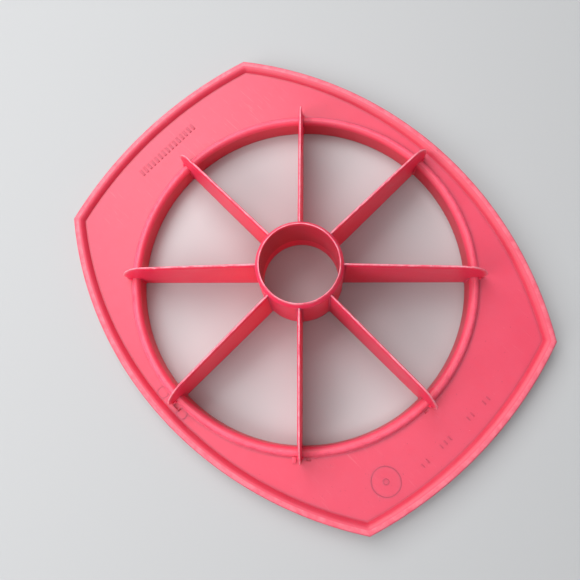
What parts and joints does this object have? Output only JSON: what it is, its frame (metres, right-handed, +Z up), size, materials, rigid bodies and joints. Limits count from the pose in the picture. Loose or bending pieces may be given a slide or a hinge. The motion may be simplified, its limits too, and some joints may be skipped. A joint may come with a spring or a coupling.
{
  "type": "apple slicer and corer",
  "caption": "Moulded fruit slicer and corer: rimmed plate with broad handle ends, round collared opening, central coring ring and radial blades that cut a fruit into wedges.",
  "frame": {"origin": "on the table under the axis of the coring ring", "axes": "+Z up along the coring ring's axis, cutting edges upwards; +X towards one handle end"},
  "size_m": [0.1364, 0.1132, 0.0238],
  "materials": {
    "coral_plastic": "satin, moulded"
  },
  "bodies": {
    "root": {"frame_plate": "coral_plastic", "outer_rim": "coral_plastic", "opening_collar": "coral_plastic", "coring_ring": "coral_plastic", "blade_1": "coral_plastic", "blade_2": "coral_plastic", "blade_3": "coral_plastic", "blade_4": "coral_plastic", "blade_5": "coral_plastic", "blade_6": "coral_plastic", "blade_7": "coral_plastic", "blade_8": "coral_plastic"}
  },
  "joints": []
}
